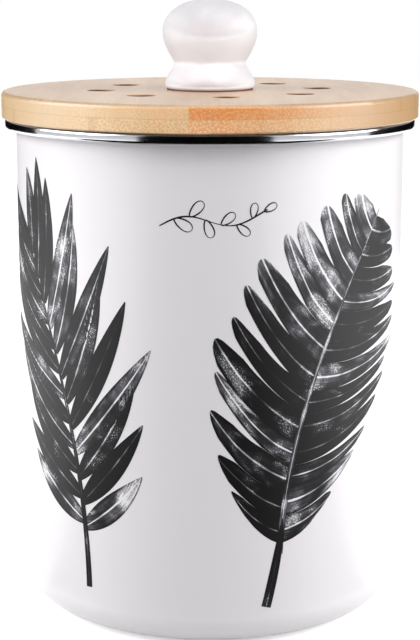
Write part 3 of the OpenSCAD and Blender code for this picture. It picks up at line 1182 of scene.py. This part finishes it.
@dataclass
class TornLeaf:
    """A banana leaf: a pale midrib on a dark stem, with a blade torn along its side veins.

    A pair of numbers is the least and the most that chance draws, or the width at the start
    and at the end.
    """

    midrib: list[Point]
    half_width: float
    stem_end: Point
    lobes: int
    seed: int
    tone: float = 0.4
    tones: Point = (-0.14, 0.26)
    fades: Point = (-0.05, 0.2)
    blade_start: float = 0.03
    blade_share: float = 0.95
    unevenness: float = 0.35
    broad_end: float = 0.85
    fullness: float = 0.62
    lean: float = 0.22
    sweep: float = 0.42
    tear_starts: Point = (0.25, 0.8)
    tear_openings: Point = (0.006, 0.02)
    tear_power: float = 0.7
    droops: Point = (-0.012, 0.012)
    shortenings: Point = (0.0, 0.1)
    tip_round: float = 0.17
    tip_side: float = 0.75
    tip_power: float = 2.6
    rib_widths: Point = (3.2, 0.7)
    rib_tone: float = 0.72
    stem_widths: Point = (4.4, 0.4)
    stem_tone: float = 0.25
    stem_taper: float = 3.0
    stem_tip: float = 0.1
    rib_steps: int = 40
    lobe_steps: int = 26
    lobe_columns: int = 9

    def draw(self, sheet: Print) -> None:
        """Draws the leaf.

        Args:
            sheet: The print it is drawn on.
        """
        chance = random.Random(self.seed)
        for side in (-1, 1):
            tears = self._tears(chance)
            for k in range(self.lobes):
                self._lobe(sheet, side, tears[k], tears[k + 1], chance)
        self._rib(sheet, self.midrib, self.rib_widths, self.rib_tone)
        tip, _ = bezier(self.midrib, self.stem_tip)
        stem = [self.stem_end, self.midrib[0], (tip.x, tip.y)]
        self._rib(sheet, stem, self.stem_widths, self.stem_tone, self.stem_taper)

    def _tears(self, chance: random.Random) -> list[Place]:
        """Draws the tears of one side, with the blade's two ends as the first and last.

        Args:
            chance: Source of the leaf's unevenness.

        Returns:
            Each tear's place on the midrib, where it starts and how far it opens.
        """
        places = []
        for k in range(self.lobes + 1):
            shift = self.unevenness * (chance.random() - 0.5) * (0 < k < self.lobes)
            places.append(self.blade_start + self.blade_share * (k + shift) / self.lobes)
        return [(place, chance.uniform(*self.tear_starts), chance.uniform(*self.tear_openings))
                for place in places]

    def _blade(self, t: float, u: float, side: int) -> Vector:
        """Finds a flat point of the blade.

        Args:
            t: Its share of the midrib's length.
            u: Its share of the half width.
            side: Which side of the midrib, -1 or 1.

        Returns:
            The point.
        """
        point, heading = bezier(self.midrib, t)
        normal = Vector((-heading.y, heading.x)) * side
        width = self.half_width * math.sin(math.pi * t ** self.broad_end) ** self.fullness
        forward = self.lean * u + self.sweep * u * u
        return point + normal * width * u + heading * width * forward

    def _lobe(self, sheet: Print, side: int, low: Place, high: Place,
              chance: random.Random) -> None:
        """Draws the blade between two tears.

        Args:
            sheet: The print it is drawn on.
            side: Which side of the midrib, -1 or 1.
            low: Place, start and opening of the tear nearer the stem.
            high: The same for the tear nearer the tip.
            chance: Source of the leaf's unevenness.
        """
        droop = chance.uniform(*self.droops)
        short = chance.uniform(*self.shortenings)
        rows = []
        for i in range(self.lobe_steps + 1):
            row = []
            for j in range(self.lobe_columns):
                v = j / (self.lobe_columns - 1)
                tip = self.tip_round * abs(2 * v - self.tip_side) ** self.tip_power
                u = (i / self.lobe_steps) * (1 - short - tip)
                a = low[0] + low[2] * max(0.0, u - low[1]) ** self.tear_power
                b = high[0] - high[2] * max(0.0, u - high[1]) ** self.tear_power
                row.append(self._blade(a + (b - a) * v + droop * u * u, u, side))
            rows.append(row)
        sheet.stroke(rows, self.tone + chance.uniform(*self.tones), chance.uniform(*self.fades))

    def _rib(self, sheet: Print, path: list[Point], widths: Point, tone: float,
             taper: float = 1.0) -> None:
        """Draws a tapered rib.

        Args:
            sheet: The print it is drawn on.
            path: Start, control and end point.
            widths: Its width at the start and at the end.
            tone: Its tone.
            taper: Power of the taper, over 1 where it stays wide for longer.
        """
        rows = []
        for i in range(self.rib_steps + 1):
            t = i / self.rib_steps
            point, heading = bezier(path, t)
            half = (widths[0] + (widths[1] - widths[0]) * t ** taper) / 2
            rows.append(stroke_row(point, heading, half))
        sheet.stroke(rows, tone)


@dataclass
class PalmFrond:
    """A palm frond: narrow leaflets in pairs along an arching stalk.

    A pair of numbers is the least and the most that chance draws. Angles are in degrees from
    the stalk's direction.
    """

    stalk: list[Point]
    pairs: int
    leaflet: float
    width: float
    seed: int
    tone: float = 0.4
    tones: Point = (-0.15, 0.26)
    fades: Point = (-0.1, 0.2)
    bare: float = 0.16
    top: float = 0.985
    first: float = 0.25
    stagger: float = 0.125
    stalk_half: float = 1.6
    stalk_thinning: float = 0.75
    stalk_tone: float = 0.22
    stalk_steps: int = 60
    shortest: float = 0.35
    swell_start: float = 0.12
    swell_share: float = 0.8
    stretches: Point = (0.9, 1.08)
    low_angle: float = 62.0
    angle_fall: float = 34.0
    angles: Point = (-5.0, 5.0)
    curls: Point = (8.0, 22.0)
    butt: float = 0.06
    fullness: float = 0.7
    thinning: float = 0.35
    tip_width: float = 0.04
    steps: int = 22

    def draw(self, sheet: Print) -> None:
        """Draws the frond.

        Args:
            sheet: The print it is drawn on.
        """
        chance = random.Random(self.seed)
        for k in range(self.pairs):
            for side in (-1, 1):
                share = (k + self.stagger * side + self.first) / self.pairs
                self._leaflet(sheet, self.bare + (self.top - self.bare) * share, side, chance)
        rows = []
        for i in range(self.stalk_steps + 1):
            t = i / self.stalk_steps
            point, heading = bezier(self.stalk, t)
            half = self.stalk_half * (1 - self.stalk_thinning * t)
            rows.append(stroke_row(point, heading, half))
        sheet.stroke(rows, self.stalk_tone)

    def _leaflet(self, sheet: Print, t: float, side: int, chance: random.Random) -> None:
        """Draws one leaflet.

        Args:
            sheet: The print it is drawn on.
            t: Its place on the stalk.
            side: Which side of the stalk, -1 or 1.
            chance: Source of the frond's unevenness.
        """
        along = (t - self.bare) / (1 - self.bare)
        swell = math.sin(math.pi * (self.swell_start + self.swell_share * along))
        length = self.leaflet * (self.shortest + (1 - self.shortest) * swell)
        length *= chance.uniform(*self.stretches)
        angle = self.low_angle - self.angle_fall * along + chance.uniform(*self.angles)
        lean = math.radians(angle) * side
        curl = math.radians(chance.uniform(*self.curls)) * -side
        point, heading = bezier(self.stalk, t)
        rows = []
        for i in range(self.steps + 1):
            u = i / self.steps
            way = turned(heading, lean + curl * u)
            if i:
                point = point + way * (length / self.steps)
            full = math.sin(math.pi * (self.butt + (1 - self.butt) * u)) ** self.fullness
            half = self.width / 2 * max(self.tip_width, full * (1 - self.thinning * u))
            rows.append(stroke_row(point, way, half))
        sheet.stroke(rows, self.tone + chance.uniform(*self.tones), chance.uniform(*self.fades))


@dataclass
class PenSprig:
    """A small sprig drawn with a fine pen: a waving stem with looped leaves."""

    middle: Point
    length: float
    line: float = 0.55
    leaf_line: float = 0.85
    wobble: float = 0.35
    wobbles: float = 9.0
    tone: float = 0.05
    climb: float = 5.0
    wave: float = 3.0
    half_waves: float = 2.2
    leaves: int = 6
    first_leaf: float = 0.14
    leafy_share: float = 0.72
    top_leaf: float = 0.97
    leaf_angle: float = 52.0
    leaf_size: float = 0.2
    leaf_shrink: float = 0.07
    leaf_width: float = 0.24
    leaf_taper: float = 0.3
    stem_steps: int = 60
    leaf_steps: int = 36

    def draw(self, sheet: Print) -> None:
        """Draws the sprig.

        Args:
            sheet: The print it is drawn on.
        """
        stem = [self._stem(i / self.stem_steps) for i in range(self.stem_steps + 1)]
        self._line(sheet, stem, self.line)
        for k in range(self.leaves):
            t = self.first_leaf + self.leafy_share * k / (self.leaves - 1)
            side = 1 if k % 2 else -1
            self._line(sheet, self._leaf(t, side), self.line * self.leaf_line)
        self._line(sheet, self._leaf(self.top_leaf, 0), self.line * self.leaf_line)

    def _stem(self, t: float) -> Vector:
        """Returns the stem's point at share t of its length."""
        rise = self.wave * math.sin(self.half_waves * math.pi * t) + self.climb * t
        return Vector((self.middle[0] + (t - 0.5) * self.length, self.middle[1] + rise))

    def _leaf(self, t: float, side: int) -> list[Vector]:
        """Shapes a looped leaf.

        Args:
            t: Its share of the stem's length.
            side: 1 for above the stem, -1 for below and 0 for its end.

        Returns:
            The points of its outline.
        """
        base = self._stem(t)
        near = 0.01
        heading = (self._stem(t + near) - self._stem(t - near)).normalized()
        way = turned(heading, side * math.radians(self.leaf_angle))
        normal = Vector((-way.y, way.x))
        size = self.length * (self.leaf_size - self.leaf_shrink * t)
        points = []
        for i in range(self.leaf_steps + 1):
            a = 2 * math.pi * i / self.leaf_steps
            along = size * (1 - math.cos(a)) / 2
            aside = size * self.leaf_width * math.sin(a) * (1 - self.leaf_taper * math.cos(a))
            points.append(base + way * along + normal * aside)
        return points

    def _line(self, sheet: Print, path: list[Vector], width: float) -> None:
        """Draws a pen line along a path.

        Args:
            sheet: The print it is drawn on.
            path: Flat points it follows.
            width: Its mean width.
        """
        rows = []
        for i, point in enumerate(path):
            ahead, behind = path[min(i + 1, len(path) - 1)], path[max(i - 1, 0)]
            way = (ahead - behind).normalized()
            half = width / 2 * (1 + self.wobble * math.sin(self.wobbles * i / len(path)))
            normal = Vector((-way.y, way.x)) * half
            rows.append([point - normal, point, point + normal])
        sheet.stroke(rows, self.tone)


@dataclass
class Decoration:
    """Everything printed on the canister's wall."""

    ink: bpy.types.Material
    radius: float

    def build(self) -> None:
        """Builds each print, the front's first and then the back's."""
        drawings = {
            "printed_banana_leaf": TornLeaf([(31.0, 44.0), (36.0, 126.0), (88.0, 192.0)],
                                            half_width=50.0, stem_end=(25.0, 20.0), lobes=13,
                                            seed=11),
            "printed_palm_frond": PalmFrond([(-58.0, 24.0), (-60.0, 108.0), (-104.0, 182.0)],
                                            pairs=12, leaflet=66.0, width=13.5, seed=5),
            "printed_sprig": PenSprig(middle=(1.5, 190.0), length=46.0),
            "printed_back_leaf": TornLeaf([(182.0, 192.0), (190.0, 126.0), (158.0, 40.0)],
                                          half_width=44.0, stem_end=(172.0, 210.0), lobes=12,
                                          seed=23),
            "printed_back_frond": PalmFrond([(262.0, 24.0), (250.0, 112.0), (268.0, 182.0)],
                                            pairs=11, leaflet=46.0, width=11.5, seed=8),
        }
        for name, drawing in drawings.items():
            sheet = Print(name, self.radius)
            drawing.draw(sheet)
            settle(sheet.piece(self.ink), "caddy")


# --- Lid and pail --------------------------------------------------------------------------


@dataclass
class Knob:
    """Glazed knob with its insert, gasket, screw and washer.

    A smooth bulb on a waist that flares into the foot. Heights are over the foot.
    """

    glaze: bpy.types.Material
    rubber: bpy.types.Material
    brass: bpy.types.Material
    steel: bpy.types.Material
    neck_radius: float = 16.6
    base_radius: float = 20.8
    base_edge: float = 1.8
    foot_height: float = 2.4
    neck_height: float = 12.3
    bulb_height: float = 26.0
    dome_power: float = 2.15
    bore_radius: float = 4.45
    bore_depth: float = 14.3
    steps: int = 60

    def build(self) -> None:
        """Builds the knob and dresses what holds it."""
        radius, low, high = node_size("knob")
        tall, edge = high - low, self.base_edge
        outline = [(0.0, low + self.bore_depth), (self.bore_radius, low + self.bore_depth),
                   (self.bore_radius, low)]
        outline += arc((self.base_radius - edge, low + edge), edge, -90, 0, 6)
        for i in range(self.steps):
            share = math.sin(math.pi / 2 * i / self.steps)
            z = self.foot_height + (tall - self.foot_height) * share
            outline.append((self._radius(z, radius, tall), low + z))
        outline.append((0.0, high))
        piece = lathe("glazed_knob", outline, self.glaze)
        settle(piece, "lid", "knob", slot="knob_glaze")
        # The washer's dark red-brown is partly a painted shadow under the knob.
        dress("knob_gasket", self.rubber)
        dress("knob_insert", self.brass)
        dress("knob_screw", self.steel)
        dress("screw_washer", self.steel)

    def _radius(self, z: float, widest: float, tall: float) -> float:
        """Finds the knob's radius at a height.

        Args:
            z: The height.
            widest: Radius of the bulb.
            tall: The knob's height.

        Returns:
            The radius.
        """
        bulb, neck = self.bulb_height, self.neck_height
        if z >= bulb:
            share = min(1.0, (z - bulb) / (tall - bulb))
            return widest * (1 - share ** self.dome_power) ** (1 / self.dome_power)
        if z >= neck:
            swell = math.sin(math.pi / 2 * (z - neck) / (bulb - neck))
            return self.neck_radius + (widest - self.neck_radius) * swell
        flare = (1 - math.cos(math.pi * (neck - z) / (neck - self.foot_height))) / 2
        return self.neck_radius + (self.base_radius - self.neck_radius) * flare


@dataclass
class Lid:
    """Bamboo lid with its plug, seal, filters and turn buttons."""

    bamboo: bpy.types.Material
    silicone: bpy.types.Material
    felt: bpy.types.Material
    plastic: bpy.types.Material
    wire: bpy.types.Material
    sheet: bpy.types.Material

    def build(self) -> None:
        """Dresses the lid's CAD nodes."""
        for node in ("lid_board", "plug_ring"):
            dress(node, self.bamboo)
        dress("lid_seal", self.silicone)
        for node in ("upper_filter", "lower_filter"):
            dress(node, self.felt)
        dress("filter_guard", self.plastic)
        dress("button_screws", self.wire)
        for number in (1, 2, 3):
            dress(f"turn_button_{number}", self.sheet)


@dataclass
class Pail:
    """Moulded pail with its wire bail and grip."""

    shell: bpy.types.Material
    grip: bpy.types.Material
    wire: bpy.types.Material

    def build(self) -> None:
        """Dresses the pail's CAD nodes."""
        dress("inner_pail", self.shell)
        dress("bail_wire", self.wire)
        dress("bail_grip", self.grip)


# --- Studio --------------------------------------------------------------------------------


@dataclass(frozen=True)
class Softbox:
    """A rectangular lamp.

    It stands at a place and faces the aim. Its power is in watts, and the spread is the angle
    in degrees that its grid lets through.
    """

    name: str
    at: Place
    aim: Place
    size: Point
    power: float
    spread: float = 180.0
    mirrored: bool = True


@dataclass(frozen=True)
class Card:
    """A curved black card.

    Its ends are in degrees round the caddy, from the front towards +X, and its profile has
    the distance from the caddy's axis and the height of each edge it bends at.
    """

    name: str
    ends: Point
    profile: tuple[Point, ...]


CADDY_MIDDLE: Place = (0.0, 0.0, 120.0)
KNOB_MIDDLE: Place = (0.0, 0.0, 257.0)
FRONT_PROFILE = ((112.0, 2.0), (1500.0, 2.0), (1500.0, 700.0), (1100.0, 1400.0),
                 (500.0, 1650.0))
SIDE_PROFILE = ((950.0, 2.0), (1300.0, 2.0), (1300.0, 900.0), (1000.0, 1300.0))
FOOT_PROFILE = ((112.0, 2.5), (650.0, 2.5))


@dataclass
class Studio:
    """Camera, lamps, white stage and the black cards that the polished band mirrors."""

    paper: bpy.types.Material
    flock: bpy.types.Material
    camera_distance: float = 783.1
    camera_height: float = 294.2
    camera_pitch: float = 0.205
    lens: float = 94.05
    sensor: float = 36.0
    world_light: float = 0.05
    floor_half: float = 3000.0
    card_steps: int = 24
    lamps: tuple[Softbox, ...] = (
        Softbox("left_softbox", (-1060.0, -190.0, 650.0), CADDY_MIDDLE, (1000.0, 900.0), 17.9),
        Softbox("right_softbox", (1050.0, -230.0, 650.0), CADDY_MIDDLE, (1000.0, 900.0), 19.2),
        Softbox("top_softbox", (0.0, -640.0, 1400.0), CADDY_MIDDLE, (900.0, 500.0), 6.0),
        Softbox("knob_light", (0.0, -760.0, 250.0), KNOB_MIDDLE, (44.0, 26.0), 0.0045,
                spread=4.8, mirrored=False),
    )
    cards: tuple[Card, ...] = (
        Card("front_card", (-38.0, 33.0), FRONT_PROFILE),
        Card("left_card", (-160.0, -107.0), SIDE_PROFILE),
        Card("right_card", (94.0, 158.0), SIDE_PROFILE),
        Card("foot_card", (-75.0, 70.0), FOOT_PROFILE),
    )

    def build(self) -> None:
        """Builds the studio."""
        bpy.context.scene.view_settings.view_transform = "Standard"
        self._camera()
        self._world()
        self._floor()
        for box in self.lamps:
            self._lamp(box)
        for card in self.cards:
            self._card(card)

    def _camera(self) -> None:
        """Adds the camera in front of the caddy, looking down a little."""
        data = bpy.data.cameras.new("camera")
        data.sensor_width = self.sensor
        data.lens = self.lens
        camera = bpy.data.objects.new("camera", data)
        camera.location = (0.0, -self.camera_distance * MM, self.camera_height * MM)
        camera.rotation_euler = (math.pi / 2 - self.camera_pitch, 0.0, 0.0)
        bpy.context.scene.collection.objects.link(camera)
        bpy.context.scene.camera = camera

    def _world(self) -> None:
        """Makes a world that is white where it is seen or mirrored and dimmer as a light."""
        g = Graph("studio_white", world=True)
        path = g.add("LightPath")
        mirrored = g.add("Math", {"operation": "MAXIMUM"},
                         {0: path.outputs["Is Glossy Ray"],
                          1: path.outputs["Is Transmission Ray"]})
        seen = g.add("Math", {"operation": "MAXIMUM"},
                     {0: path.outputs["Is Camera Ray"], 1: mirrored.outputs[0]})
        strength = g.add("MapRange", {"To Min": self.world_light, "To Max": 1.0},
                         {"Value": seen.outputs[0]})
        sky = g.add("Background", {"Color": WHITE}, {"Strength": strength.outputs[0]})
        bpy.context.scene.world = g.finish(sky)

    def _floor(self) -> None:
        """Lays the white floor."""
        half = self.floor_half
        corners = [(-half, -half, 0.0), (half, -half, 0.0), (half, half, 0.0), (-half, half, 0.0)]
        mesh_piece("stage_floor", corners, [(0, 1, 2, 3)], self.paper)

    def _lamp(self, box: Softbox) -> None:
        """Hangs a lamp.

        Args:
            box: What it is like.
        """
        data = bpy.data.lights.new(box.name, "AREA")
        data.shape = "RECTANGLE"
        data.size, data.size_y = box.size[0] * MM, box.size[1] * MM
        data.energy = box.power
        data.spread = math.radians(box.spread)
        lamp = bpy.data.objects.new(box.name, data)
        lamp.location = Vector(box.at) * MM
        way = Vector(box.aim) * MM - lamp.location
        lamp.rotation_euler = way.to_track_quat("-Z", "Y").to_euler()
        lamp.visible_glossy = box.mirrored
        bpy.context.scene.collection.objects.link(lamp)

    def _card(self, card: Card) -> None:
        """Stands a card that only reflections see.

        Args:
            card: What it is like.
        """
        start, end = card.ends
        width = len(card.profile)
        points, faces = [], []
        for i in range(self.card_steps + 1):
            angle = math.radians(start + (end - start) * i / self.card_steps)
            points += [(r * math.sin(angle), -r * math.cos(angle), z) for r, z in card.profile]
        for i in range(self.card_steps):
            for j in range(width - 1):
                a = i * width + j
                faces.append((a, a + 1, a + width + 1, a + width))
        piece = mesh_piece(card.name, points, faces, self.flock)
        piece.visible_camera = False
        piece.visible_diffuse = False
        piece.visible_shadow = False


def main() -> None:
    """Builds the studio and dresses the caddy, piece by piece."""
    logging.basicConfig(level=logging.INFO, format="%(name)s: %(message)s")
    Studio(StageWhite().material(), BlackFlock().material()).build()
    enamel = VitreousEnamel()
    wire = BareMetal("drawn_steel_wire", "#B9BBBD", MetalWork.DRAWN, roughness=0.24).material()
    sheet = BareMetal("brushed_stainless_sheet", "#BFC0C2", MetalWork.BRUSHED,
                      roughness=0.32).material()
    polished = BareMetal("buffed_stainless", "#BBBCBF", MetalWork.BUFFED, roughness=0.12,
                         mark_depth_mm=0.004).material()
    brass = BareMetal("turned_brass", "#C9A25A", MetalWork.TURNED, roughness=0.28).material()
    dark_plastic = MouldedPlastic("black_polypropylene", "#1E1F20", roughness=0.48).material()
    pail_plastic = MouldedPlastic("grey_polypropylene", "#6E7273", roughness=0.4).material()
    silicone = MouldedPlastic("silicone_rubber", "#DEDDD8", roughness=0.55, ior=1.41,
                              grain_mm=1.5).material()
    # The washer under the knob is dark red-brown partly as a painted shadow: the dark line where
    # the knob meets the lid.
    gasket = MouldedPlastic("gasket_rubber_and_painted_shadow", "#6A3324", roughness=0.6).material()
    bamboo = LaminatedBamboo(*node_size("lid_board")).material()
    canister = Canister(enamel.material(), polished)
    canister.build()
    Decoration(InkWash(enamel).material(), canister.radius).build()
    Knob(StonewareGlaze().material(), gasket, brass, wire).build()
    Lid(bamboo, silicone, CharcoalFelt().material(), dark_plastic, wire, sheet).build()
    Pail(pail_plastic, dark_plastic, wire).build()


if __name__ == "__main__":
    main()
